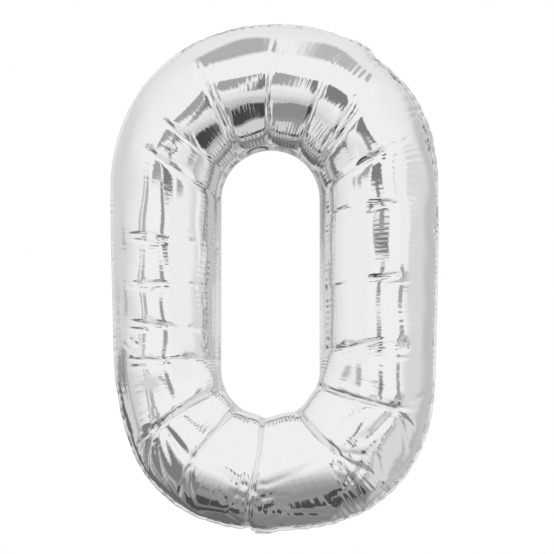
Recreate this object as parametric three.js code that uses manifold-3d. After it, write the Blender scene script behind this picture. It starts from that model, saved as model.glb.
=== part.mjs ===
// A foil number balloon in the shape of a zero, filled and hanging.
//
// Two mirror-image foil panels are heat-welded together round the outside and round the open middle, the
// counter. A flat filling tail leaves the weld at the bottom, and two film strips inside it form the
// self-sealing valve. Two punched hang tabs leave the weld near the top. The tail and the tabs are folded
// back behind the balloon, each on its own hinge line.
//
// Millimetres. +Z is up, -Y is the front, +X is to the right. The origin is the centre of the balloon.

import * as THREE from "three";
import { mergeVertices } from "three/addons/utils/BufferGeometryUtils.js";
import Module from "manifold-3d";

const wasm = await Module();
wasm.setup();

// The two weld lines. Each is a round arc over another, joined by straight sides. An arc's power is 2 for
// a circle, and a higher power makes it squarer.
const OUTER = { radius: 275, top: 150, topPower: 2.1, bottom: -150, bottomPower: 2.4 };
const COUNTER = { radius: 96, top: 130, topPower: 2, bottom: -155, bottomPower: 2 };

// Filled section and film. The real film is about 0.04 mm thick, so SKIN stands in for it.
const DEPTH_RATIO = 0.97; // depth of the filled section over its width
const SKIN = 1;
const WELD_WIDTH = 5; // width of the welded margin outside the outer weld line
const COUNTER_WELD_WIDTH = 11; // and of the wider one that is left inside the counter's weld line
const WELD_OVERLAP = 2; // how far a margin runs in between the panels
const WELD_THICKNESS = 1.2;
const GAP = 0.3; // clearance between neighbouring pieces
const PANEL_EDGE = WELD_THICKNESS / 2 + GAP; // height of a panel's edge above the weld plane

// Steps of the panel surfaces.
const ARC_STEPS = 22;
const SIDE_STEPS = 4;
const ACROSS_STEPS = 14;
const HOLE_STEPS = 12;

// Filling tail and valve, at the bottom.
const NECK_X = -20; // the neck sits a little left of the middle
const TAIL_WIDTH = 26;
const TAIL_LENGTH = 62;
const TAIL_PLY = 0.6;
const FILL_HOLE_RADIUS = 5;
const FILL_HOLE_FROM_TIP = 15;
const VALVE_WIDTH = 24;
const VALVE_LENGTH = 110;
const VALVE_TAPER = 4; // how much narrower each side is at the inner end
const VALVE_FILM = 0.4;

// Hang tabs, near the top.
const TAB_ANGLE = THREE.MathUtils.degToRad(32); // either side of the top
const TAB_WIDTH = 26;
const TAB_LENGTH = 26;
const TAB_THICKNESS = 1;
const TAB_HOLE_RADIUS = 4.5;

const FLAP_REACH = OUTER.radius + WELD_WIDTH + 2 * GAP; // radius of the line that the hinges lie on
const FOLD_LEAN = THREE.MathUtils.degToRad(14); // how far a folded flap leans in towards the balloon

const foil = new THREE.MeshStandardMaterial({ color: 0xdadcde, roughness: 0.12, metalness: 1 });
const weldedFoil = new THREE.MeshStandardMaterial({ color: 0xcfd1d3, roughness: 0.25, metalness: 1 });
const valveFilm = new THREE.MeshStandardMaterial({ color: 0xe6ebee, roughness: 0.35, metalness: 0 });

const balloon = new THREE.Group();

function addPiece(parent, name, geometry, material) {
  const mesh = new THREE.Mesh(geometry, material);
  mesh.name = name;
  parent.add(mesh);
}

// ---- Solids to and from manifold-3d ----

function toSolid(geometry) {
  const bare = geometry.clone();
  bare.deleteAttribute("normal");
  bare.deleteAttribute("uv");
  const merged = mergeVertices(bare, 1e-3);
  return new wasm.Manifold(
    new wasm.Mesh({
      numProp: 3,
      vertProperties: new Float32Array(merged.attributes.position.array),
      triVerts: new Uint32Array(merged.index.array),
    }),
  );
}

function toGeometry(solid) {
  const mesh = solid.getMesh();
  const geometry = new THREE.BufferGeometry();
  geometry.setAttribute("position", new THREE.BufferAttribute(mesh.vertProperties, 3));
  geometry.setIndex(new THREE.BufferAttribute(mesh.triVerts, 1));
  geometry.computeVertexNormals();
  return geometry;
}

// ---- Outlines ----

function powerOf(value, power) {
  return Math.sign(value) * Math.abs(value) ** power;
}

// A point of an arc in the XZ plane, about the arc's centre. The angle runs from +X towards +Z.
function arcPoint(radius, power, angle) {
  return new THREE.Vector2(
    radius * powerOf(Math.cos(angle), 2 / power),
    radius * powerOf(Math.sin(angle), 2 / power),
  );
}

// A weld line offset outwards by a distance, anticlockwise from the bottom of its right-hand side.
// Every line has the same number of points, so that two lines pair up point by point.
function weldLine(line, offset) {
  const radius = line.radius + offset;
  const points = [];
  for (let i = 0; i < SIDE_STEPS; i++) {
    points.push(new THREE.Vector2(radius, THREE.MathUtils.lerp(line.bottom, line.top, i / SIDE_STEPS)));
  }
  for (let i = 0; i < ARC_STEPS; i++) {
    const point = arcPoint(radius, line.topPower, (Math.PI * i) / ARC_STEPS);
    points.push(point.setY(point.y + line.top));
  }
  for (let i = 0; i < SIDE_STEPS; i++) {
    points.push(new THREE.Vector2(-radius, THREE.MathUtils.lerp(line.top, line.bottom, i / SIDE_STEPS)));
  }
  for (let i = 0; i < ARC_STEPS; i++) {
    const point = arcPoint(radius, line.bottomPower, Math.PI + (Math.PI * i) / ARC_STEPS);
    points.push(point.setY(point.y + line.bottom));
  }
  return points;
}

// ---- Panels ----

// One filled panel: a half tube round the counter, SKIN thick, open towards the weld plane.
// side is -1 for the front panel and 1 for the back one.
function panelGeometry(side) {
  const outer = weldLine(OUTER, 0);
  const inner = weldLine(COUNTER, 0);
  const around = outer.length;
  const rows = ACROSS_STEPS + 1;
  const positions = [];
  for (const inset of [0, SKIN]) {
    for (let j = 0; j < rows; j++) {
      const angle = (Math.PI * j) / ACROSS_STEPS;
      for (let i = 0; i < around; i++) {
        const centre = inner[i].clone().lerp(outer[i], 0.5);
        const half = outer[i].clone().sub(inner[i]).multiplyScalar(0.5);
        const width = half.length();
        const spread = (-Math.cos(angle) * (width - inset)) / width;
        const at = centre.addScaledVector(half, spread);
        const depth = Math.sin(angle) * (width * DEPTH_RATIO - inset);
        positions.push(at.x, side * (PANEL_EDGE + depth), at.y);
      }
    }
  }
  const index = [];
  const quad = (a, b, c, d) => {
    if (side > 0) index.push(a, b, c, a, c, d);
    else index.push(a, c, b, a, d, c);
  };
  const layer = rows * around;
  const vertex = (skin, j, i) => skin * layer + j * around + (i % around);
  for (let i = 0; i < around; i++) {
    for (let j = 0; j < ACROSS_STEPS; j++) {
      quad(vertex(0, j, i), vertex(0, j, i + 1), vertex(0, j + 1, i + 1), vertex(0, j + 1, i));
      quad(vertex(1, j, i), vertex(1, j + 1, i), vertex(1, j + 1, i + 1), vertex(1, j, i + 1));
    }
    quad(vertex(0, 0, i), vertex(1, 0, i), vertex(1, 0, i + 1), vertex(0, 0, i + 1));
    const last = ACROSS_STEPS;
    quad(vertex(0, last, i), vertex(0, last, i + 1), vertex(1, last, i + 1), vertex(1, last, i));
  }
  const geometry = new THREE.BufferGeometry();
  geometry.setAttribute("position", new THREE.Float32BufferAttribute(positions, 3));
  geometry.setIndex(index);
  geometry.computeVertexNormals();
  return geometry;
}

// ---- Welded margins ----

// Turns a shape drawn in XY into a plate that lies in the weld plane, centred on it.
function flatPlate(shape, thickness) {
  const plate = new THREE.ExtrudeGeometry(shape, {
    depth: thickness,
    bevelEnabled: false,
  });
  return plate.rotateX(Math.PI / 2).translate(0, thickness / 2, 0);
}

// A flat ring from one offset of a weld line to a larger one.
function weldMargin(line, from, to) {
  const shape = new THREE.Shape(weldLine(line, to));
  shape.holes.push(new THREE.Path(weldLine(line, from)));
  return flatPlate(shape, WELD_THICKNESS);
}

// The outer margin stops either side of the neck, where the tail and the valve pass through it.
function outerMargin() {
  const ring = toSolid(weldMargin(OUTER, -WELD_OVERLAP, WELD_WIDTH));
  const neck = new THREE.BoxGeometry(TAIL_WIDTH + 2 * GAP, 4 * WELD_THICKNESS, 8 * WELD_WIDTH);
  neck.translate(NECK_X, 0, OUTER.bottom - OUTER.radius);
  return toGeometry(ring.subtract(toSolid(neck)));
}

// ---- Valve ----

// One strip of valve film, standing in the weld plane from the neck up into the gas space.
function valveStrip(side) {
  const half = VALVE_WIDTH / 2;
  const bottom = OUTER.bottom - OUTER.radius - WELD_OVERLAP;
  const shape = new THREE.Shape();
  shape.moveTo(-half, 0);
  shape.lineTo(half, 0);
  shape.lineTo(half - VALVE_TAPER, VALVE_LENGTH);
  shape.lineTo(-half + VALVE_TAPER, VALVE_LENGTH);
  shape.closePath();
  const strip = flatPlate(shape, VALVE_FILM);
  return strip.translate(NECK_X, (side * (GAP + VALVE_FILM)) / 2, bottom);
}

// ---- Flaps: the filling tail and the hang tabs ----

// A strip with a rounded tip, drawn from its root at y = 0, and a punched hole if it has a radius.
function flapShape(width, length, holeRadius, holeFromTip) {
  const half = width / 2;
  const shape = new THREE.Shape();
  shape.moveTo(-half, 0);
  shape.lineTo(half, 0);
  shape.lineTo(half, length - half);
  shape.absarc(0, length - half, half, 0, Math.PI, false);
  shape.closePath();
  if (holeRadius) {
    const hole = new THREE.Path();
    hole.absarc(0, length - holeFromTip, holeRadius, 0, 2 * Math.PI, true);
    shape.holes.push(hole);
  }
  return shape;
}

// A plate in the flap's own frame: X across, Y along from the hinge line, Z out from the balloon.
function flapPlate(shape, thickness, bottom) {
  const options = { depth: thickness, bevelEnabled: false, curveSegments: HOLE_STEPS };
  return new THREE.ExtrudeGeometry(shape, options).translate(0, GAP, bottom);
}

// A group at a hinge point on the edge of the balloon, folded back behind it.
// outward is the direction away from the balloon in the weld plane.
function foldedFlap(hinge, outward) {
  const back = new THREE.Vector3(0, 1, 0);
  const axis = back.clone().cross(outward);
  const along = back.multiplyScalar(Math.cos(FOLD_LEAN)).addScaledVector(outward, -Math.sin(FOLD_LEAN));
  const out = axis.clone().cross(along);
  const flap = new THREE.Group();
  flap.quaternion.setFromRotationMatrix(new THREE.Matrix4().makeBasis(axis, along, out));
  flap.position.copy(hinge);
  balloon.add(flap);
  return flap;
}

function addTail() {
  const hinge = new THREE.Vector3(NECK_X, 0, OUTER.bottom - FLAP_REACH);
  const tail = foldedFlap(hinge, new THREE.Vector3(0, 0, -1));
  const punched = flapShape(TAIL_WIDTH, TAIL_LENGTH, FILL_HOLE_RADIUS, FILL_HOLE_FROM_TIP);
  const plain = flapShape(TAIL_WIDTH, TAIL_LENGTH);
  addPiece(tail, "tail_front_ply", flapPlate(punched, TAIL_PLY, GAP / 2), foil);
  addPiece(tail, "tail_back_ply", flapPlate(plain, TAIL_PLY, -GAP / 2 - TAIL_PLY), foil);
}

// side is -1 for the left tab and 1 for the right one.
function addHangTab(name, side) {
  const angle = Math.PI / 2 - side * TAB_ANGLE;
  const at = arcPoint(FLAP_REACH, OUTER.topPower, angle);
  const normal = arcPoint(1, OUTER.topPower / (OUTER.topPower - 1), angle).normalize();
  const tab = foldedFlap(
    new THREE.Vector3(at.x, 0, OUTER.top + at.y),
    new THREE.Vector3(normal.x, 0, normal.y),
  );
  const shape = flapShape(TAB_WIDTH, TAB_LENGTH, TAB_HOLE_RADIUS, TAB_WIDTH / 2);
  addPiece(tab, name, flapPlate(shape, TAB_THICKNESS, -TAB_THICKNESS / 2), weldedFoil);
}

addPiece(balloon, "front_panel", panelGeometry(-1), foil);
addPiece(balloon, "back_panel", panelGeometry(1), foil);
addPiece(balloon, "outer_weld_margin", outerMargin(), weldedFoil);
addPiece(
  balloon,
  "counter_weld_margin",
  weldMargin(COUNTER, -COUNTER_WELD_WIDTH, WELD_OVERLAP),
  weldedFoil,
);
addPiece(balloon, "valve_film_front", valveStrip(-1), valveFilm);
addPiece(balloon, "valve_film_back", valveStrip(1), valveFilm);
addTail();
addHangTab("hang_tab_left", -1);
addHangTab("hang_tab_right", 1);

export default balloon;
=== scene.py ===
"""Silver foil number balloon, a zero: the filled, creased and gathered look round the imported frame.

Metres, in the row frame: +Z up, -Y the front, +X to the right.
"""

import math

import bpy
import numpy as np
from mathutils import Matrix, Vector


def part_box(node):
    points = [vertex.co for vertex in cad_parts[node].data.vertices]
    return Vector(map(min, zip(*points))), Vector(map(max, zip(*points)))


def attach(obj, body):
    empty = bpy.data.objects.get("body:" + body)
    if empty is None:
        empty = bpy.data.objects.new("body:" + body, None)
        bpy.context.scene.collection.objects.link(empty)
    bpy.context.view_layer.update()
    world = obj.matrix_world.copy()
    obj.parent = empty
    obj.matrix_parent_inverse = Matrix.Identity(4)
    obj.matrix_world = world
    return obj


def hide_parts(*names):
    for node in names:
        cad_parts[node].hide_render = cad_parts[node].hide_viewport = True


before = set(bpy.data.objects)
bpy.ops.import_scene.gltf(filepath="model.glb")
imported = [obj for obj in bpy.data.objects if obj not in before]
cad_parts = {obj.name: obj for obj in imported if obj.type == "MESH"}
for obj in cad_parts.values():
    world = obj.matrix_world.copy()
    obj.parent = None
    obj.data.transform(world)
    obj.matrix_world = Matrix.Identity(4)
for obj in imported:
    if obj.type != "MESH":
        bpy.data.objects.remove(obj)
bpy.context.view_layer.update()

MM = 0.001
FRONT, BACK = -1, 1

# ---- Sizes taken from the frame ----

panel_low, panel_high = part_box("front_panel")
margin_low, margin_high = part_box("outer_weld_margin")
counter_low, counter_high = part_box("counter_weld_margin")

WELD_OVERLAP = 2 * MM  # how far a CAD margin runs in between the panels
OUTER_MARGIN = margin_high.x - panel_high.x
COUNTER_MARGIN = 11 * MM
EDGE = 0.4 * MM  # height of a panel's edge above the weld plane


class WeldLine:
    """A weld line: an arc over another, joined by straight sides.

    A power of 2 makes an arc round and more makes it squarer. taper narrows the lower half, lean draws in its
    left side, and shift moves the whole line sideways.
    """

    def __init__(self, radius, top, top_power, bottom, bottom_power, taper, lean, shift):
        self.radius = radius
        self.top = top
        self.top_power = top_power
        self.bottom = bottom
        self.bottom_power = bottom_power
        self.taper = taper
        self.lean = lean
        self.shift = shift


outer_radius = panel_high.x
counter_radius = counter_high.x - WELD_OVERLAP
OUTER = WeldLine(
    radius=outer_radius,
    top=panel_high.z - outer_radius,
    top_power=2.13,
    bottom=panel_low.z + outer_radius,
    bottom_power=2.4,
    taper=0.026,
    lean=0.026,
    shift=0,
)
COUNTER = WeldLine(
    radius=counter_radius - 2 * MM,
    top=counter_high.z - counter_high.x,
    top_power=2.0,
    bottom=counter_low.z + counter_high.x,
    bottom_power=2.0,
    taper=0.0,
    lean=0.0,
    shift=-7 * MM,
)
DEPTH_RATIO = 0.97  # the tube's depth over its width

# ---- Stations: a distance round the ring, from the bottom of its right-hand side, anticlockwise ----

SIDE = 0.29
ARC = math.pi * (OUTER.radius + COUNTER.radius) / 2
RING = 2 * (SIDE + ARC)


def right(z):
    return SIDE * (z - OUTER.bottom) / (OUTER.top - OUTER.bottom)


def top(degrees):
    return SIDE + ARC * degrees / 180


def left(z):
    return SIDE + ARC + SIDE * (OUTER.top - z) / (OUTER.top - OUTER.bottom)


def bottom(degrees):
    """An angle of the lower arc, from 180 at its left end to 360 at its right end."""
    return 2 * SIDE + ARC + ARC * (degrees - 180) / 180


def signed_power(value, power):
    return np.sign(value) * np.abs(value) ** power


def on_line(line, u):
    """X and Z of a weld line at stations u."""
    u = np.mod(u, RING)
    centre = np.where(u < SIDE + ARC, line.top, line.bottom)
    power = np.where(u < SIDE + ARC, 2 / line.top_power, 2 / line.bottom_power)
    angle = np.where(u < SIDE + ARC, (u - SIDE) / ARC, 1 + (u - 2 * SIDE - ARC) / ARC) * math.pi
    x = line.radius * signed_power(np.cos(angle), power)
    z = centre + line.radius * signed_power(np.sin(angle), power)
    going_up = u < SIDE
    x = np.where(going_up, line.radius, x)
    z = np.where(going_up, line.bottom + (line.top - line.bottom) * u / SIDE, z)
    going_down = (u >= SIDE + ARC) & (u < 2 * SIDE + ARC)
    x = np.where(going_down, -line.radius, x)
    down = (u - SIDE - ARC) / SIDE
    z = np.where(going_down, line.top + (line.bottom - line.top) * down, z)
    lower = line.taper * smooth(-z, -line.top, -line.bottom + 0.05)
    lower_left = line.lean * smooth(-z, 0.12, 0.26) * (x < 0)
    return x * (1 - lower - lower_left) + line.shift, z


def smooth(value, low, high):
    """0 below low, 1 above high, with an S-shaped step between."""
    t = np.clip((value - low) / (high - low), 0, 1)
    return t * t * (3 - 2 * t)


def lower_arc(u):
    """1 on the lower arc, where the folds run right across to the outer weld."""
    u = np.mod(u, RING)
    start = 2 * SIDE + ARC
    return smooth(u, start - 0.03, start + 0.05) * (1 - smooth(u, RING - 0.05, RING))


# ---- The smooth filled tube ----

OVERHANG = 0.055  # how far the panel swells past the counter's weld line, over the tube's half width
LOWER_OVERHANG = 0.14  # more of it on the lower arc
TIP = 1.12  # above 1, the section comes to more of a point at the outer weld


def tube(u, phi, side):
    """Points of the filled tube. phi runs from 0 at the counter's weld to pi at the outer weld."""
    ox, oz = on_line(OUTER, u)
    ix, iz = on_line(COUNTER, u)
    overhang = OVERHANG + LOWER_OVERHANG * lower_arc(u)
    spread = -np.cos(phi) - overhang * np.sin(np.clip(phi * 2.6, 0, math.pi)) ** 2
    x = (ox + ix) / 2 + (ox - ix) / 2 * spread
    z = (oz + iz) / 2 + (oz - iz) / 2 * spread
    half = np.hypot(ox - ix, oz - iz) / 2
    power = 1 + (TIP - 1) * smooth(phi, math.pi / 2, math.pi)
    y = side * (EDGE + half * DEPTH_RATIO * np.abs(np.sin(phi)) ** power)
    return np.stack([x, y, z], -1)


# ---- Creases ----

# The front panel's long creases, in order round the ring. Each is a line of (station, phi in degrees) points
# from the counter outwards, then its depth and width in millimetres. The film is nearly straight between two.
CREASES = [
    ([(right(0.118), 0), (right(0.122), 80), (right(0.131), 180)], 1.2, 4),
    ([(top(8), 0), (top(15), 90), (top(21), 180)], 2.8, 4),
    ([(top(28), 0), (top(40), 100), (top(49), 180)], 3.0, 4),
    ([(top(31), 0), (top(45), 100), (top(53), 180)], 3.0, 4),
    ([(top(57), 0), (top(63), 100), (top(66), 180)], 2.8, 4),
    ([(top(90), 0), (top(89), 180)], 2.6, 3.5),
    ([(top(122), 0), (top(117), 100), (top(112), 180)], 2.8, 4),
    ([(top(125), 0), (top(120), 100), (top(116), 180)], 2.4, 4),
    ([(top(149), 0), (top(147), 180)], 2.6, 4),
    ([(top(177), 0), (top(165), 90), (top(158), 180)], 2.2, 4),
    ([(left(0.07), 0), (left(0.064), 180)], 0.7, 3),
    ([(left(-0.005), 0), (left(-0.014), 180)], 0.5, 3),
    ([(left(-0.088), 0), (left(-0.074), 180)], 0.6, 3),
    ([(left(-0.135), 0), (left(-0.146), 180)], 0.8, 3),
    ([(bottom(203), 0), (bottom(204.7), 110), (bottom(200), 180)], 2.4, 4),
    ([(bottom(203.01), 0), (bottom(204.71), 110), (bottom(214), 180)], 3.0, 4),
    ([(bottom(203.02), 0), (bottom(204.72), 110), (bottom(226), 180)], 2.6, 4),
    ([(bottom(232), 0), (bottom(230.5), 94), (bottom(238), 180)], 2.4, 4),
    ([(bottom(232.01), 0), (bottom(230.51), 94), (bottom(251), 180)], 2.4, 4),
    ([(bottom(263), 0), (bottom(265.5), 60), (bottom(264.5), 104), (bottom(262.5), 180)], 5.4, 3.2),
    ([(bottom(302), 0), (bottom(307.5), 84), (bottom(281), 180)], 2.4, 4),
    ([(bottom(302.01), 0), (bottom(307.51), 84), (bottom(300), 180)], 2.4, 4),
    ([(bottom(302.02), 0), (bottom(307.52), 84), (bottom(321), 180)], 2.4, 4),
    ([(bottom(338), 0), (bottom(344), 114), (bottom(334), 180)], 2.4, 4),
    ([(bottom(338.01), 0), (bottom(344.01), 114), (bottom(351), 180)], 2.4, 4),
    ([(right(-0.118), 0), (right(-0.124), 180)], 0.9, 4),
    ([(right(-0.02), 0), (right(-0.002), 90), (right(-0.012), 180)], 0.8, 4),
]


def crease_station(line, degrees):
    stations = [point[0] for point in line]
    angles = [point[1] for point in line]
    return np.interp(degrees, angles, stations)


def facet_strength(u, degrees):
    """How straight the film is between creases: it is round at both welds."""
    outer_side = 1 - smooth(degrees, 104, 150)
    below = 1 - smooth(degrees, 150, 174)
    share = lower_arc(u)
    return smooth(degrees, 2, 14) * (outer_side * (1 - share) + 0.9 * below * share)


PILLOW = 1.0 * MM  # how far the film between two creases swells past the straight chord
TURN = 1.3 * MM  # uneven swelling that turns each piece its own way


def flattened(u, phi, side, creases, rng):
    """The tube with straight chords between neighbouring creases, each piece slightly pillowed and turned."""
    degrees = np.degrees(phi)
    points = tube(u, phi, side)
    lines = [np.mod(crease_station(line, degrees), RING) for line, _, _ in creases]
    result = points.copy()
    swell = np.zeros_like(u)
    strength = facet_strength(u, degrees)
    for k, a in enumerate(lines):
        b = lines[(k + 1) % len(lines)]
        gap = np.mod(b - a, RING)
        along = np.mod(u - a, RING)
        share = np.clip(along / np.maximum(gap, 1e-6), 0, 1)
        inside = along < gap
        chord = tube(a, phi, side) * (1 - share)[..., None] + tube(b, phi, side) * share[..., None]
        moved = points + (chord - points) * strength[..., None]
        result = np.where(inside[..., None], moved, result)
        window = np.sqrt(np.sin(math.pi * share))
        waves = rng.uniform(2.2, 3.4)
        turned = np.sin(waves * phi + rng.uniform(0, 2 * math.pi)) + rng.uniform(-1, 1) * (2 * share - 1)
        piece = window * (PILLOW + TURN * (1 + 1.1 * lower_arc(u)) * turned)
        swell = np.where(inside, piece, swell)
    return result, swell * strength


def normals_of(points, side):
    along = np.roll(points, -1, 0) - np.roll(points, 1, 0)
    across = np.gradient(points, axis=1)
    n = np.cross(along, across)
    n /= np.maximum(np.linalg.norm(n, axis=-1, keepdims=True), 1e-12)
    if np.mean(n[:, n.shape[1] // 2, 1]) * side < 0:
        n = -n
    return n


def steps_round(u, phi, side):
    """Metres of surface per metre of station."""
    delta = 1e-4
    return np.linalg.norm(tube(u + delta, phi, side) - tube(u - delta, phi, side), axis=-1) / (2 * delta)


def round_distance(u, station):
    return np.mod(u - station + RING / 2, RING) - RING / 2


def cusp(x):
    """A sharp valley with soft shoulders."""
    return np.exp(-np.abs(x)) * (1 - 0.35 * np.abs(x))


def crease_depth(u, phi, metric, creases):
    depth = np.zeros_like(u)
    degrees = np.degrees(phi)
    reach = 126 + 40 * lower_arc(u)
    fade = smooth(degrees, 2, 12) * (1 - smooth(degrees, reach - 40, reach))
    for line, deep, wide in creases:
        d = round_distance(u, crease_station(line, degrees)) * metric
        depth += deep * MM * fade * cusp(d / (wide * MM))
    return depth


TUBE_RADIUS = 0.092


def segment_depth(u, phi, metric, segments):
    """Valleys along straight segments: each is (u, phi, u, phi, depth mm, width mm), phi in degrees."""
    depth = np.zeros_like(u)
    for u0, p0, u1, p1, deep, wide in segments:
        ax = round_distance(u, u0) * metric
        ay = (phi - math.radians(p0)) * TUBE_RADIUS
        bx = round_distance(np.array(u1), u0) * metric
        by = math.radians(p1 - p0) * TUBE_RADIUS
        t = np.clip((ax * bx + ay * by) / (bx * bx + by * by), 0, 1)
        d = np.hypot(ax - t * bx, ay - t * by)
        along = 0.35 + 0.65 * np.sin(math.pi * np.clip(t, 0.02, 0.98))
        depth += deep * MM * along * cusp(d / (wide * MM))
    return depth


STAR_WIDTH = 2.2  # millimetres


def star(rng, u, phi, count, reach, deep):
    """Short random creases round a node, such as where two folds meet."""
    made = []
    for k in range(count):
        angle = 2 * math.pi * (k + rng.uniform(-0.35, 0.35)) / count
        length = reach * MM * rng.uniform(0.5, 1.2)
        du = length * math.cos(angle)
        dp = math.degrees(length * math.sin(angle) / TUBE_RADIUS)
        depth = deep * rng.uniform(0.4, 1.2)
        made.append((u, phi, u + du, phi + dp, depth, STAR_WIDTH * rng.uniform(0.6, 1.3)))
    return made


NECK = (264.5, 104)

# Folds of the lower arc: angle and phi of both ends, depth and width in millimetres.
LOWER_FOLDS = [
    # the long fold along the crown, from node to node
    (204.7, 110, 230.5, 94, 1.6, 6),
    (230.5, 94, 250, 99, 1.5, 5),
    (250, 99, *NECK, 1.8, 4),
    (*NECK, 280, 97, 1.8, 4),
    (280, 97, 307.5, 84, 1.5, 6),
    (307.5, 84, 344, 114, 1.6, 5),
    # the fan below the left-hand node
    (204.7, 110, 208, 165, 4.0, 4.4),
    (204.7, 110, 220, 165, 5.0, 4.4),
    (205, 110, 231, 150, 4.4, 4.4),
    (207, 106, 229, 122, 3.4, 4),
    (207, 101, 228, 99, 6.4, 8),
    # a long fold down the left-hand edge
    (154, 152, 178, 150, 2.4, 4),
    (174, 149, 196, 147, 2.8, 4),
    # folds along the right-hand side
    (342, 114, 322, 103, 6.0, 7),
    (307.5, 84, 318, 110, 2.6, 5),
    (318, 110, 329, 114, 2.6, 4),
    (293, 126, 318, 110, 3.6, 4.4),
    (344, 114, 330, 150, 3.4, 4.4),
    (346, 118, 352, 150, 3.4, 4.4),
    (322, 118, 310, 152, 3.2, 4.4),
    # folds either side of the neck
    (*NECK, 255, 138, 2.6, 4),
    (*NECK, 275, 138, 2.6, 4),
    (255, 138, 263, 165, 2.6, 4),
    (275, 138, 263, 165, 2.6, 4),
    (255, 138, 240, 148, 2.2, 4),
    (275, 138, 291, 150, 2.2, 4),
    (253, 76, 256, 90, 2.4, 4),
]

# Folds up and down the sides, beside the counter: station and phi of both ends, depth and width in
# millimetres.
SIDE_FOLDS = [
    (left(0.10), 34, left(0.005), 42, 1.8, 2.6),
    (left(0.0), 40, left(-0.06), 36, 1.6, 2.4),
    (left(-0.05), 33, left(-0.12), 38, 2.0, 3),
    (right(0.09), 26, right(0.01), 36, 1.8, 2.4),
    (right(0.0), 30, right(-0.08), 33, 1.4, 2.4),
]

# Slashes where the side creases pass over the crown: station, tilt in millimetres, phi of both ends.
SLASHES = [
    (left(0.066), 5, 58, 86),
    (left(0.060), -4, 84, 128),
    (left(0.071), 3, 100, 126),
    (left(-0.012), 8, 82, 118),
    (left(-0.020), -2, 100, 128),
    (left(-0.08), -7, 84, 124),
    (left(-0.09), -3, 104, 134),
    (left(-0.142), -4, 86, 132),
    (left(-0.151), 2, 100, 132),
    (right(0.125), -6, 66, 100),
    (right(0.118), 4, 84, 124),
    (right(0.0), -7, 56, 84),
    (right(-0.002), 8, 84, 112),
    (right(-0.014), 6, 96, 128),
    (right(-0.118), 10, 40, 84),
    (right(-0.112), 9, 60, 98),
    (right(-0.128), 5, 78, 124),
    (right(-0.136), -4, 96, 128),
]

# Places where folds meet: station, phi, number of short creases, their reach and depth in millimetres.
NODES = [
    (bottom(204.7), 110, 10, 20, 2.2),
    (bottom(230.5), 94, 9, 14, 1.8),
    (bottom(307.5), 84, 9, 14, 1.8),
    (bottom(344), 114, 8, 16, 2.0),
    (left(-0.14), 100, 8, 16, 1.8),
    (left(-0.12), 34, 8, 16, 1.6),
    (top(158), 86, 7, 12, 1.1),
    (top(168), 60, 7, 12, 1.4),
    (top(14), 92, 8, 16, 1.8),
    (top(46), 112, 6, 12, 1.4),
    (right(-0.12), 118, 9, 16, 2.0),
    (right(-0.105), 30, 7, 12, 1.6),
    (right(0.118), 84, 6, 12, 1.6),
    (right(0.13), 22, 7, 12, 1.6),
]

# Crumpled patches: station, phi, radius in millimetres, number of creases.
CRUMPLES = [
    (bottom(NECK[0]), NECK[1], 17, 14),
    (bottom(257), 122, 18, 20),
    (bottom(271), 120, 18, 20),
    (bottom(262), 20, 12, 8),
    (top(26), 34, 12, 12),
    (right(-0.122), 60, 16, 10),
    (left(-0.118), 122, 16, 10),
]


def crumple(rng, u, phi, radius, count):
    """Short creases scattered over a disc."""
    made = []
    for _ in range(count):
        out = radius * math.sqrt(rng.uniform(0, 1))
        way = rng.uniform(0, 2 * math.pi)
        turn = rng.uniform(0, 2 * math.pi)
        half = radius * rng.uniform(0.3, 0.7)
        at_u = u + out * math.cos(way) * MM
        at_phi = phi + math.degrees(out * math.sin(way) * MM / TUBE_RADIUS)
        du = half * math.cos(turn) * MM
        dphi = math.degrees(half * math.sin(turn) * MM / TUBE_RADIUS)
        depth = rng.uniform(0.9, 2.5)
        made.append((at_u - du, at_phi - dphi, at_u + du, at_phi + dphi, depth, rng.uniform(1.8, 3.0)))
    return made


def drift(station):
    """How far the back panel's creases lie from the front panel's, so the two don't match."""
    turn = 2 * math.pi * station / RING
    return (7 * math.sin(5 * turn + 1) + 4 * math.sin(11 * turn + 2)) * MM


def moved_fold(fold):
    u0, p0, u1, p1, deep, wide = fold
    return u0 + drift(u0), p0 - 4, u1 + drift(u1), p1 + 3, 0.8 * deep, wide


def moved_crease(crease):
    line, deep, wide = crease
    return [(station + drift(station), degrees) for station, degrees in line], 0.9 * deep, wide


def feathers(rng, creases):
    """Small creases that branch off the long ones."""
    made = []
    for line, deep, _ in creases:
        for _ in range(9):
            phi = rng.uniform(14, 128)
            u = crease_station(line, phi) + rng.uniform(-5, 5) * MM
            length = rng.uniform(5, 13) * MM
            angle = math.radians(rng.choice([-1, 1]) * rng.uniform(8, 40))
            du = length * math.sin(angle)
            dphi = math.degrees(length * math.cos(angle) / TUBE_RADIUS)
            depth = rng.uniform(0.5, 1.0) * min(deep + 0.4, 1.8)
            made.append((u - du, phi - dphi, u + du, phi + dphi, depth, rng.uniform(1.6, 2.6)))
    return made


def folds_of(rng):
    """All the folds of a panel that aren't long creases."""
    made = [(bottom(a), p, bottom(b), q, deep, wide) for a, p, b, q, deep, wide in LOWER_FOLDS]
    made += SIDE_FOLDS
    for station, tilt, start, end in SLASHES:
        made.append((station - tilt * MM / 2, start, station + tilt * MM / 2, end, 2.0, 2.4))
    for station, phi, count, reach, deep in NODES:
        made += star(rng, station, phi, count, reach, deep)
    for place in CRUMPLES:
        made += crumple(rng, *place)
    return made + feathers(rng, CREASES)


# ---- Ripples and gathers ----

CROWN_WAVE = 8 * MM
GATHER_SPACING = 17 * MM
OUTER_STEPS = 1.33  # metres of outer weld per metre of station, on average


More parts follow.
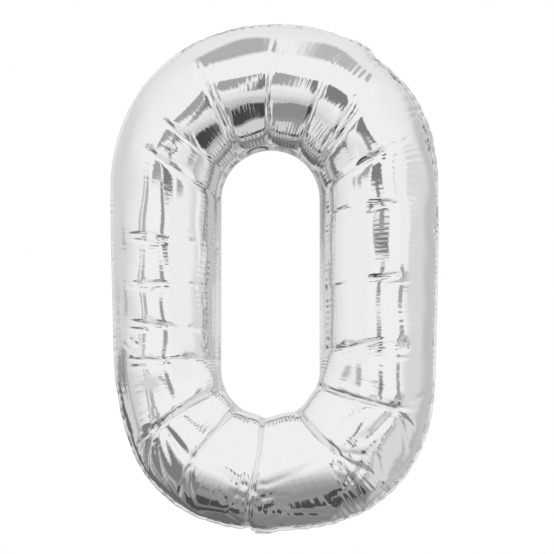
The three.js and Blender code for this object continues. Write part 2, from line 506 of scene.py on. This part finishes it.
def ripple(u, phi, rng, wave, waves=26):
    """Uneven ripples that run across the tube, about 1 high."""
    total = np.zeros_like(u)
    for _ in range(waves):
        cycles = round(RING / wave * rng.uniform(0.72, 1.35))
        slant = rng.uniform(-2.2, 2.2)
        turn = rng.uniform(0, 2 * math.pi)
        total += np.sin(2 * math.pi * cycles * u / RING + slant * phi + turn)
    return total / math.sqrt(waves / 2)


def undulation(u, phi, rng, wave, waves=14):
    """Broad soft unevenness in both directions, about 1 high."""
    total = np.zeros_like(u)
    for _ in range(waves):
        cycles = round(RING / wave * rng.uniform(0.3, 1.3))
        across = rng.uniform(-1, 1) * 2 * math.pi * TUBE_RADIUS / wave
        total += np.sin(2 * math.pi * cycles * u / RING + across * phi + rng.uniform(0, 2 * math.pi))
    return total / math.sqrt(waves / 2)


def arc_share(u):
    """1 on the arcs, where the film has most to gather, and 0 on the straight sides."""
    u = np.mod(u, RING)
    upper = smooth(u, SIDE - 0.05, SIDE + 0.05) * (1 - smooth(u, SIDE + ARC - 0.05, SIDE + ARC + 0.05))
    start = 2 * SIDE + ARC
    lower = smooth(u, start - 0.05, start + 0.05) + (1 - smooth(u, 0, 0.05))
    return np.clip(upper + lower, 0, 1)


def make_gathers(rng):
    """Pinches along the outer weld: station, length, depth, width, and the way it tips the weld."""
    made = []
    u = 0.0
    while u < RING - 0.4 * GATHER_SPACING / OUTER_STEPS:
        share = float(arc_share(np.array(u)))
        size = rng.uniform(0.45, 1.25) * (0.45 + 0.55 * share)
        length = (11 + 17 * size) * MM
        made.append((u, length, 2.6 * size * MM, (2.6 + 1.6 * size) * MM, rng.choice([-1, 1])))
        u += GATHER_SPACING / OUTER_STEPS * rng.uniform(0.55, 1.45) * (1.35 - 0.35 * share)
    return made


GATHERS = make_gathers(np.random.default_rng(12))
NECK_STATION = bottom(263.5)
NOTCH_DEPTH = 5 * MM
NOTCH_WIDTH = 4 * MM


def outer_distance(u, station):
    """Distance along the outer weld."""
    return round_distance(u, station) * OUTER_STEPS


def gather_depth(u, phi, metric):
    from_weld = (math.pi - phi) * TUBE_RADIUS
    depth = np.zeros_like(u)
    for station, length, deep, wide, _ in GATHERS:
        near = np.abs(round_distance(u, station)) < 0.02
        d = round_distance(u[near], station) * metric[near]
        inward = np.clip(1 - from_weld[near] / length, 0, 1)
        spread = wide * (0.55 + 0.45 * inward)
        depth[near] += deep * inward ** 1.3 * cusp(d / spread)
    return depth


RECESS = 6 * MM  # how far the fullest gathers draw the outer weld in, and turn it to the front


def recess(u):
    """The weld is drawn in most at the upper right, less at the right and below, and not at the left."""
    right_side = 1 - np.abs(round_distance(u, right(0))) / 0.36
    upper = np.exp(-((round_distance(u, top(30)) / 0.11) ** 2))
    lower = np.exp(-((round_distance(u, bottom(285)) / 0.2) ** 2))
    return RECESS * np.clip(upper + 0.3 * np.clip(right_side, 0, 1) + 0.5 * lower, 0, 1)


tail_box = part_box("tail_front_ply")
tab_boxes = [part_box("hang_tab_left"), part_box("hang_tab_right")]


def beside_fittings(u):
    """1 along most of the weld and 0 at the tail and the tabs, where it lies as it was cut."""
    x, z = on_line(OUTER, u)
    free = np.ones_like(u)
    for low, high in [tail_box] + tab_boxes:
        centre = (low + high) / 2
        edge = low.z if centre.z < 0 else high.z
        distance = np.hypot(x - centre.x, z - edge)
        free *= smooth(distance, 14 * MM, 34 * MM)
    return free


def weld_scallop(u):
    """How far the outer weld is drawn in at each gather, and how far it is tipped forward or back."""
    drawn = np.zeros_like(u)
    tipped = np.zeros_like(u)
    for station, _, deep, wide, way in GATHERS:
        d = outer_distance(u, station)
        drawn += 0.85 * deep * cusp(d / (1.5 * wide))
        tipped += 0.5 * way * deep * np.exp(-((d / (1.9 * wide)) ** 2))
    notch = np.exp(-np.abs(outer_distance(u, NECK_STATION)) / NOTCH_WIDTH)
    back = recess(u)
    free = beside_fittings(u)
    loose = 0.34 + 0.66 * back / RECESS
    return (drawn * loose + back) * free + NOTCH_DEPTH * notch, (tipped * loose - 0.9 * back) * free


# ---- Panels ----

AROUND = 1152
ACROSS = 86
BACK_SWELL = 2.1  # how far the back panel swells out where its weld is drawn in, over the recess


def blurred(field):
    """One light pass that takes the stair-steps off slanting creases."""
    field = (np.roll(field, 1, 0) + 2 * field + np.roll(field, -1, 0)) / 4
    inner = (field[:, :-2] + 2 * field[:, 1:-1] + field[:, 2:]) / 4
    return np.concatenate([field[:, :1], inner, field[:, -1:]], 1)


def panel_points(side, seed, creases, segments):
    rng = np.random.default_rng(seed)
    stations = np.arange(AROUND) / AROUND * RING
    angles = np.linspace(0, math.pi, ACROSS + 1)
    u, phi = np.meshgrid(stations, angles, indexing="ij")
    metric = steps_round(u, phi, side)
    points, swell = flattened(u, phi, side, creases, rng)
    normals = normals_of(tube(u, phi, side), side)

    degrees = np.degrees(phi)
    arcs = arc_share(u)
    held = smooth(degrees, 0, 14) * (1 - smooth(degrees, 168, 180))
    depth = crease_depth(u, phi, metric, creases) + segment_depth(u, phi, metric, segments)
    depth += 0.9 * MM * undulation(u, phi, rng, 0.11) * (1 - 0.6 * facet_strength(u, degrees))
    patchy = smooth(undulation(u, phi, rng, 0.09), -0.6, 1.2)
    crown = 0.045 * MM * (0.5 + 0.5 * arcs) * (0.2 + patchy) * ripple(u, phi, rng, CROWN_WAVE)
    on_right = 0.35 + 0.65 * smooth(points[..., 0], -0.18, 0.1)
    broken = smooth(undulation(u, phi, rng, 0.05), -0.7, 0.9)
    near_weld = 0.2 * MM * on_right * (0.55 + 0.45 * arcs + 0.7 * lower_arc(u)) * broken
    near_weld = near_weld * smooth(degrees, 84, 130) * ripple(u, phi, rng, 9 * MM)
    near_counter = 0.32 * MM * (1 - smooth(degrees, 30, 52)) * ripple(u, phi, rng, 10 * MM)
    depth = blurred(depth + crown + near_weld + near_counter - swell) * held
    depth += gather_depth(u, phi, metric)

    drawn, tipped = weld_scallop(u)
    to_weld = smooth(degrees, 128, 180)
    points = points - normals * depth[..., None]
    outward = in_plane_outward(u)
    points -= outward * (drawn * to_weld)[..., None]
    points[..., 1] += tipped * to_weld
    if side == BACK:
        swelling = np.sin(math.pi * np.clip((degrees - 92) / 88, 0, 1) ** 2.2)
        # no swell beside the fittings, so that the folded flaps clear the panel
        swelling *= BACK_SWELL * recess(u) * beside_fittings(u)
        points += outward * swelling[..., None]
    return points


def in_plane_outward(u):
    delta = 1e-4
    ax, az = on_line(OUTER, u - delta)
    bx, bz = on_line(OUTER, u + delta)
    length = np.hypot(bx - ax, bz - az)
    return np.stack([(bz - az) / length, np.zeros_like(u), -(bx - ax) / length], -1)


# ---- Meshes from grids ----


def add_mesh(name, vertices, faces):
    data = bpy.data.meshes.new(name)
    data.vertices.add(len(vertices))
    data.vertices.foreach_set("co", np.asarray(vertices, np.float32).ravel())
    data.loops.add(faces.size)
    data.loops.foreach_set("vertex_index", faces.astype(np.int32).ravel())
    data.polygons.add(len(faces))
    data.polygons.foreach_set("loop_start", np.arange(len(faces), dtype=np.int32) * faces.shape[1])
    data.polygons.foreach_set("use_smooth", np.ones(len(faces), bool))
    data.update(calc_edges=True)
    obj = bpy.data.objects.new(name, data)
    bpy.context.scene.collection.objects.link(obj)
    return obj


def grid_faces(rows, columns, closed_rows, flip):
    i, j = np.meshgrid(np.arange(rows if closed_rows else rows - 1), np.arange(columns - 1), indexing="ij")
    a = i * columns + j
    b = (i + 1) % rows * columns + j
    faces = np.stack([a, b, b + 1, a + 1], -1).reshape(-1, 4)
    return faces[:, ::-1] if flip else faces


def ring_places():
    """Each grid point's place on a ring in metres, for textures that run round it without a join."""
    turns = np.arange(AROUND) / AROUND * 2 * math.pi
    angles = np.linspace(0, math.pi, ACROSS + 1)
    turn, phi = np.meshgrid(turns, angles, indexing="ij")
    radius = RING / (2 * math.pi)
    return np.stack([radius * np.cos(turn), radius * np.sin(turn), TUBE_RADIUS * phi], -1)


def add_panel(name, side, seed, creases, segments):
    points = panel_points(side, seed, creases, segments)
    faces = grid_faces(AROUND, ACROSS + 1, True, side < 0)
    panel = add_mesh(name, points.reshape(-1, 3), faces)
    place = panel.data.attributes.new("ring_place", "FLOAT_VECTOR", "POINT")
    place.data.foreach_set("vector", ring_places().astype(np.float32).ravel())
    return panel


def add_ring_strip(name, top_side, bottom_side):
    """A closed thin strip from two grids of the same shape, its upper and its lower face."""
    rows, columns = top_side.shape[:2]
    count = rows * columns
    vertices = np.concatenate([top_side.reshape(-1, 3), bottom_side.reshape(-1, 3)])
    upper = grid_faces(rows, columns, True, True)
    lower = grid_faces(rows, columns, True, False) + count
    i = np.arange(rows)
    j = (i + 1) % rows
    walls = []
    for column, flip in ((0, False), (columns - 1, True)):
        a, b = i * columns + column, j * columns + column
        wall = np.stack([a, b, b + count, a + count], -1)
        walls.append(wall[:, ::-1] if flip else wall)
    return add_mesh(name, vertices, np.concatenate([upper, lower] + walls))


def beside_tail(u):
    """1 where the tail leaves the weld and 0 everywhere else."""
    low, high = tail_box
    x, z = on_line(OUTER, u)
    return (1 - smooth(np.abs(x - (low.x + high.x) / 2), 13 * MM, 17 * MM)) * (z < 0)


MARGIN_CURL = 2.4 * MM  # how far back the outer margin's edge curls


def outer_margin_points():
    stations = np.arange(AROUND) / AROUND * RING
    across = np.linspace(-WELD_OVERLAP * 0.4, OUTER_MARGIN, 5)
    u, reach = np.meshgrid(stations, across, indexing="ij")
    rng = np.random.default_rng(5)
    drawn, tipped = weld_scallop(u)
    x, z = on_line(OUTER, u)
    points = np.stack([x, np.zeros_like(x), z], -1)
    out = reach / OUTER_MARGIN
    reach = reach * (1 - 0.1 * beside_tail(u))  # so that the tail's fold clears it
    points += in_plane_outward(u) * (reach - drawn * (1 + 0.25 * out))[..., None]
    wave = ripple(u, out, rng, 11 * MM)
    out = np.clip(out, 0, 1)
    curl = MARGIN_CURL * out * beside_fittings(u) * (1 - recess(u) / RECESS)
    points[..., 1] += tipped * (1 + 0.6 * out) + 0.25 * MM * out * wave + curl
    return points


def counter_margin_points():
    stations = np.arange(AROUND // 2) / (AROUND // 2) * RING
    across = np.linspace(-COUNTER_MARGIN, WELD_OVERLAP * 0.4, 9)
    u, reach = np.meshgrid(stations, across, indexing="ij")
    x, z = on_line(COUNTER, u)
    delta = 1e-4
    ax, az = on_line(COUNTER, u - delta)
    bx, bz = on_line(COUNTER, u + delta)
    length = np.hypot(bx - ax, bz - az)
    points = np.stack([x + (bz - az) / length * reach, np.zeros_like(x), z - (bx - ax) / length * reach], -1)
    rng = np.random.default_rng(8)
    slack = np.clip(-reach / COUNTER_MARGIN, 0, 1)
    points[..., 1] += 0.25 * MM * slack * undulation(u, reach * 20, rng, 0.09)
    points[..., 1] += -1.2 * MM * slack**2
    return points


def thickened(points, thickness):
    shift = np.array([0, thickness / 2, 0])
    return points + shift, points - shift


# ---- Materials ----


def add_node(tree, kind, **settings):
    node = tree.nodes.new(kind)
    for name, value in settings.items():
        setattr(node, name, value)
    return node


def node_material(name):
    material = bpy.data.materials.new(name)
    material.use_nodes = True
    return material, material.node_tree, material.node_tree.nodes["Principled BSDF"]


def add_crinkle(tree, shader, scale, strength, distance):
    place = tree.nodes.new("ShaderNodeTexCoord")
    noise = tree.nodes.new("ShaderNodeTexNoise")
    noise.inputs["Scale"].default_value = scale
    noise.inputs["Detail"].default_value = 4
    bump = tree.nodes.new("ShaderNodeBump")
    bump.inputs["Strength"].default_value = strength
    bump.inputs["Distance"].default_value = distance
    tree.links.new(place.outputs["Object"], noise.inputs["Vector"])
    tree.links.new(noise.outputs["Fac"], bump.inputs["Height"])
    tree.links.new(bump.outputs["Normal"], shader.inputs["Normal"])
    return bump


def foil_material():
    material, tree, shader = node_material("silver_foil")
    shader.inputs["Base Color"].default_value = (0.86, 0.86, 0.865, 1)
    shader.inputs["Metallic"].default_value = 1
    shader.inputs["Roughness"].default_value = 0.05
    crinkle = add_crinkle(tree, shader, 240, 0.14, 0.0004)
    place = add_node(tree, "ShaderNodeAttribute", attribute_name="ring_place")
    stretch = add_node(tree, "ShaderNodeVectorMath", operation="MULTIPLY")
    stretch.inputs[1].default_value = (1, 1, 0.16)
    fine = add_node(tree, "ShaderNodeTexNoise")
    fine.inputs["Scale"].default_value = 210
    fine.inputs["Detail"].default_value = 2.5
    ripples = add_node(tree, "ShaderNodeBump")
    ripples.inputs["Strength"].default_value = 0.35
    ripples.inputs["Distance"].default_value = 0.0004
    tree.links.new(place.outputs["Vector"], stretch.inputs[0])
    tree.links.new(stretch.outputs["Vector"], fine.inputs["Vector"])
    tree.links.new(fine.outputs["Fac"], ripples.inputs["Height"])
    tree.links.new(ripples.outputs["Normal"], crinkle.inputs["Normal"])
    return material


def welded_material():
    material, tree, shader = node_material("welded_foil")
    shader.inputs["Base Color"].default_value = (0.82, 0.82, 0.83, 1)
    shader.inputs["Metallic"].default_value = 1
    shader.inputs["Roughness"].default_value = 0.16
    add_crinkle(tree, shader, 700, 0.35, 0.0004)
    return material


def valve_material():
    material, tree, shader = node_material("valve_film")
    shader.inputs["Base Color"].default_value = (0.88, 0.9, 0.92, 1)
    shader.inputs["Roughness"].default_value = 0.3
    add_crinkle(tree, shader, 300, 0.2, 0.0004)
    return material


# ---- The pieces ----

foil = foil_material()
welded = welded_material()
film = valve_material()

front = add_panel("foil_front", FRONT, 21, CREASES, folds_of(np.random.default_rng(4)))
back_creases = [moved_crease(crease) for crease in CREASES]
back_folds = [moved_fold(fold) for fold in folds_of(np.random.default_rng(9))]
back = add_panel("foil_back", BACK, 22, back_creases, back_folds)
outer_fin = add_ring_strip("gathered_margin", *thickened(outer_margin_points(), 0.3 * MM))
counter_fin = add_ring_strip("counter_margin", *thickened(counter_margin_points(), 0.3 * MM))

for piece, node, material in (
    (front, "front_panel", foil),
    (back, "back_panel", foil),
    (outer_fin, "outer_weld_margin", welded),
    (counter_fin, "counter_weld_margin", welded),
):
    piece.data.materials.append(material)
    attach(piece, "envelope")
    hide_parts(node)

for node, material in (
    ("tail_front_ply", foil),
    ("tail_back_ply", foil),
    ("hang_tab_left", welded),
    ("hang_tab_right", welded),
    ("valve_film_front", film),
    ("valve_film_back", film),
):
    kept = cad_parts[node]
    kept.data.materials.clear()
    kept.data.materials.append(material)

# ---- Studio: soft light from all round, greyer behind and below ----


def put(tree, socket, value):
    if isinstance(value, bpy.types.NodeSocket):
        tree.links.new(value, socket)
    else:
        socket.default_value = value


def calculate(tree, operation, *values):
    node = add_node(tree, "ShaderNodeMath", operation=operation)
    for socket, value in zip(node.inputs, values):
        put(tree, socket, value)
    return node.outputs[0]


def soft_step(tree, value, start, end):
    """0 before start and 1 after end."""
    node = add_node(tree, "ShaderNodeMapRange", interpolation_type="SMOOTHSTEP")
    for name, number in (("Value", value), ("From Min", start), ("From Max", end)):
        put(tree, node.inputs[name], number)
    return node.outputs["Result"]


def grey_ramp(tree, position, stops):
    node = add_node(tree, "ShaderNodeValToRGB")
    node.color_ramp.interpolation = "EASE"
    while len(node.color_ramp.elements) < len(stops):
        node.color_ramp.elements.new(1)
    for element, (elevation, value) in zip(node.color_ramp.elements, stops):
        element.position = (elevation + 90) / 180
        element.color = (value, value, value, 1)
    tree.links.new(position, node.inputs["Fac"])
    return node.outputs["Color"]


def blend_greys(tree, share, first, second):
    node = add_node(tree, "ShaderNodeMix", data_type="FLOAT")
    for socket, value in zip((node.inputs[0], node.inputs[2], node.inputs[3]), (share, first, second)):
        put(tree, socket, value)
    return node.outputs[0]


# Brightness of the surroundings by elevation in degrees, in front of the balloon and behind it.
FRONT_LIGHT = [
    (-90, 0.4),
    (-74, 0.34),
    (-58, 0.32),
    (-42, 0.42),
    (-30, 0.62),
    (-18, 0.86),
    (-6, 1.0),
    (90, 1.0),
]
REAR_LIGHT = [
    (-90, 0.3),
    (-60, 0.25),
    (-30, 0.3),
    (-12, 0.5),
    (4, 0.72),
    (22, 0.84),
    (45, 0.9),
    (90, 0.97),
]

# Patches of the surroundings: azimuth from and to (0 is the front, 90 the right), elevation from and to,
# softness, all in degrees, then brightness.
PATCHES = [
    # dark things on the floor
    (-106, -76, -46, -14, 3, 0.46),
    (-82, -38, -50, -10, 3, 0.24),
    (50, 112, -48, -4, 2.5, 0.56),
    (-140, -68, -74, -58, 1.5, 0.08),
    (4, 130, -86, -66, 1.5, 0.08),
    (30, 43, -43, -28, 1.2, 0.16),
    (-165, -98, -42, 1.5, 1.5, 0.24),
    # the far end of the room, between the lights, and dark gaps at either side of them
    (-2, 6, -13, 4, 1.5, 0.36),
    (-54, -49, -16, 5.5, 1.6, 0.55),
    (-45, -36, -16, 5.5, 2.5, 0.5),
    (40, 49, -18, 6, 2, 0.42),
    # soft greys at the sides
    (60, 112, -50, 12, 9, 0.78),
    (112, 160, -50, 30, 16, 0.6),
    (-168, -100, -30, 26, 14, 0.74),
    (-174, -128, -52, 0, 5, 0.16),
]


def add_patch(tree, azimuth, elevation, light, patch):
    left_edge, right_edge, low_edge, high_edge, softness, value = patch
    inside = calculate(
        tree,
        "MULTIPLY",
        soft_step(tree, azimuth, left_edge - softness, left_edge + softness),
        soft_step(tree, azimuth, right_edge + softness, right_edge - softness),
    )
    lower = (low_edge - softness, low_edge + softness)
    upper = (high_edge + softness, high_edge - softness)
    for start, end in (lower, upper):
        inside = calculate(tree, "MULTIPLY", inside, soft_step(tree, elevation, start, end))
    return blend_greys(tree, inside, light, value)


def make_world():
    world = bpy.data.worlds.new("studio")
    bpy.context.scene.world = world
    world.use_nodes = True
    tree = world.node_tree
    place = add_node(tree, "ShaderNodeTexCoord")
    split = add_node(tree, "ShaderNodeSeparateXYZ")
    tree.links.new(place.outputs["Generated"], split.inputs["Vector"])
    x, y, z = split.outputs
    radians = calculate(tree, "ARCTAN2", x, calculate(tree, "MULTIPLY", y, -1))
    azimuth = calculate(tree, "DEGREES", radians)
    elevation = calculate(tree, "DEGREES", calculate(tree, "ARCSINE", z))
    position = calculate(tree, "DIVIDE", calculate(tree, "ADD", elevation, 90), 180)
    behind = soft_step(tree, calculate(tree, "ABSOLUTE", azimuth), 40, 125)
    light = blend_greys(
        tree, behind, grey_ramp(tree, position, FRONT_LIGHT), grey_ramp(tree, position, REAR_LIGHT)
    )
    for patch in PATCHES:
        light = add_patch(tree, azimuth, elevation, light, patch)
    seen = add_node(tree, "ShaderNodeLightPath").outputs["Is Camera Ray"]
    tree.links.new(blend_greys(tree, seen, light, 1.0), tree.nodes["Background"].inputs["Color"])


def add_card(name, centre, across, upward, value, softness, contrast=1.7):
    """A soft-edged grey card, seen from one side and only as a reflection in the foil.

    It faces along the cross product of across and upward, which run from its centre to its edges. contrast is
    how strongly streaks vary its grey.
    """
    centre, across, upward = (np.array(v) for v in (centre, across, upward))
    low, high = centre - upward, centre + upward
    corners = np.array([low - across, low + across, high + across, high - across])
    card = add_mesh(name, corners, np.array([[0, 1, 2, 3]]))
    material = bpy.data.materials.new(name)
    material.use_nodes = True
    tree = material.node_tree
    tree.nodes.clear()
    emission = add_node(tree, "ShaderNodeEmission")
    emission.inputs["Color"].default_value = (1, 1, 1, 1)
    clear = add_node(tree, "ShaderNodeBsdfTransparent")
    mixed = add_node(tree, "ShaderNodeMixShader")
    output = add_node(tree, "ShaderNodeOutputMaterial")
    layer = card.data.uv_layers.new(name="card")
    layer.data.foreach_set("uv", [0, 0, 1, 0, 1, 1, 0, 1])
    place = add_node(tree, "ShaderNodeUVMap", uv_map="card")
    split = add_node(tree, "ShaderNodeSeparateXYZ")
    tree.links.new(place.outputs["UV"], split.inputs["Vector"])
    stretch = add_node(tree, "ShaderNodeVectorMath", operation="MULTIPLY")
    stretch.inputs[1].default_value = (7, 26, 1)
    tree.links.new(place.outputs["UV"], stretch.inputs[0])
    streaks = add_node(tree, "ShaderNodeTexNoise")
    tree.links.new(stretch.outputs["Vector"], streaks.inputs["Vector"])
    plain = (1 - contrast / 2) * value
    shade = calculate(tree, "MULTIPLY_ADD", streaks.outputs["Fac"], contrast * value, plain)
    tree.links.new(shade, emission.inputs["Strength"])
    inside = calculate(tree, "SUBTRACT", 1, add_node(tree, "ShaderNodeNewGeometry").outputs["Backfacing"])
    for way in split.outputs[:2]:
        for start, end in ((0, softness), (1, 1 - softness)):
            inside = calculate(tree, "MULTIPLY", inside, soft_step(tree, way, start, end))
    tree.links.new(inside, mixed.inputs["Fac"])
    tree.links.new(clear.outputs["BSDF"], mixed.inputs[1])
    tree.links.new(emission.outputs["Emission"], mixed.inputs[2])
    tree.links.new(mixed.outputs["Shader"], output.inputs["Surface"])
    card.data.materials.append(material)
    card.visible_camera = False
    card.visible_diffuse = False
    card.visible_shadow = False


FLOOR = -1.05
FLOOR_RADIUS = 8
FLOOR_FADE = 1.5  # radius from which the floor fades to clear
FLOOR_SIDES = 96


def make_floor():
    turns = np.arange(FLOOR_SIDES) / FLOOR_SIDES * 2 * math.pi
    height = np.full(FLOOR_SIDES, FLOOR)
    rim = np.stack([FLOOR_RADIUS * np.cos(turns), FLOOR_RADIUS * np.sin(turns), height], -1)
    floor = add_mesh("floor", rim, np.arange(FLOOR_SIDES)[None])
    material, tree, shader = node_material("floor_paint")
    shader.inputs["Base Color"].default_value = (0.92, 0.92, 0.92, 1)
    shader.inputs["Roughness"].default_value = 0.8
    place = add_node(tree, "ShaderNodeTexCoord")
    distance = add_node(tree, "ShaderNodeVectorMath", operation="LENGTH")
    clear = add_node(tree, "ShaderNodeBsdfTransparent")
    faded = add_node(tree, "ShaderNodeMixShader")
    tree.links.new(place.outputs["Object"], distance.inputs[0])
    fade = soft_step(tree, distance.outputs["Value"], FLOOR_FADE, FLOOR_RADIUS)
    tree.links.new(fade, faded.inputs["Fac"])
    tree.links.new(shader.outputs["BSDF"], faded.inputs[1])
    tree.links.new(clear.outputs["BSDF"], faded.inputs[2])
    tree.links.new(faded.outputs["Shader"], tree.nodes["Material Output"].inputs["Surface"])
    floor.data.materials.append(material)
    floor.visible_glossy = False


make_world()
make_floor()
# gaps between the lights overhead and at the far end of the room
add_card("overhead_gap_left", (-0.33, -0.22, 1.15), (-0.34, 0, 0), (0, 0.36, 0), 0.5, 0.22)
add_card("overhead_gap_right", (0.4, -0.22, 1.15), (-0.34, 0, 0), (0, 0.36, 0), 0.55, 0.22)
add_card("room_end_left", (-0.46, -2.1, 0.72), (-0.31, 0, 0), (0, -1.1, 0.55), 0.42, 0.1)
add_card("room_end_right", (0.2, -2.1, 0.7), (-0.26, 0, 0), (0, -1.2, 0.6), 0.24, 0.08)
# lights and tables in front of the opening's lower end, which only the film above them reflects
add_card("low_light", (0, -0.265, -0.23), (-0.17, 0, 0), (0, -0.125, 0), 0.72, 0.06)
add_card("low_light_left", (-0.55, -0.65, -0.215), (-0.25, 0, 0), (0, -0.3, 0), 0.85, 0.08)
add_card("low_table_right", (0.11, -0.57, -0.2), (-0.15, 0, 0), (0, -0.18, 0), 0.07, 0.05)
add_card("low_table_left", (-0.2, -0.62, -0.2), (-0.14, 0, 0), (0, -0.2, 0), 0.3, 0.1)
add_card("low_light_side", (-0.36, -0.26, -0.21), (-0.12, 0, 0), (0, -0.12, 0), 0.75, 0.15)
# things beside it, each reflected by one side only
add_card("left_screen", (-0.6, 0.15, -0.17), (0, 0.14, 0), (0, 0, 0.07), 0.35, 0.25)
add_card("right_light", (0.34, -0.19, 0.11), (0, -0.06, 0), (0, 0, 0.11), 0.97, 0.12, 0)
add_card("hole_light_left", (-0.085, -0.22, 0), (0, -0.12, 0), (0, 0, 0.15), 0.97, 0.08, 0)
add_card("hole_light_right", (0.07, -0.22, 0), (0, 0.12, 0), (0, 0, 0.15), 0.97, 0.08, 0)


def add_camera(azimuth, elevation, distance, frame_height, aim):
    data = bpy.data.cameras.new("camera")
    camera = bpy.data.objects.new("camera", data)
    bpy.context.scene.collection.objects.link(camera)
    bpy.context.scene.camera = camera
    a, e = math.radians(azimuth), math.radians(elevation)
    back = Vector((math.sin(a) * math.cos(e), -math.cos(a) * math.cos(e), math.sin(e)))
    camera.location = Vector(aim) + back * distance
    camera.rotation_mode = "QUATERNION"
    camera.rotation_quaternion = (-back).to_track_quat("-Z", "Y")
    data.sensor_width = 36
    data.lens = data.sensor_width * distance / frame_height


add_camera(5, -4.5, 4.6, 0.933, (0.004, 0, -0.001))
bpy.context.scene.view_settings.view_transform = "Standard"
